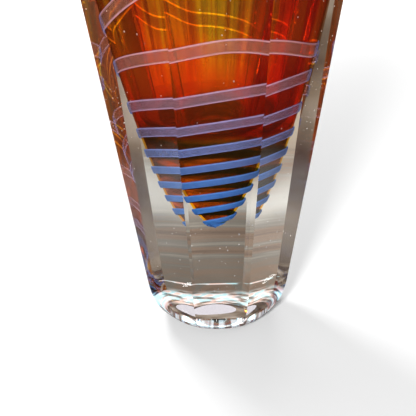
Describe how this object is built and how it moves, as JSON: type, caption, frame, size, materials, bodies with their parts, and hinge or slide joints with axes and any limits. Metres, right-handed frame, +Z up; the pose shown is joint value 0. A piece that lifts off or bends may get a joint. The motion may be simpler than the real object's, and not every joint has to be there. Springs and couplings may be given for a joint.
{
  "type": "vase",
  "caption": "Heavy cased glass vase: a colour bubble with a rising spiral thread inside a flared clear jacket cut into flat facets.",
  "frame": {"origin": "middle of the foot, on the surface that the vase stands on", "axes": "+Z up along the vase's axis; -Y is the front, the way the picture looks at it"},
  "size_m": [0.1261, 0.1222, 0.21],
  "materials": {
    "crystal": "clear, cut and polished",
    "red_amber": "transparent red-orange, fused",
    "amber": "transparent amber, fire polished",
    "blue": "milky blue, fused",
    "label_paper": "matt paper, blank"
  },
  "bodies": {
    "root": {"clear_casing": "crystal", "red_overlay": "red_amber", "amber_bubble": "amber", "blue_thread": "blue", "base_label": "label_paper"}
  },
  "joints": []
}
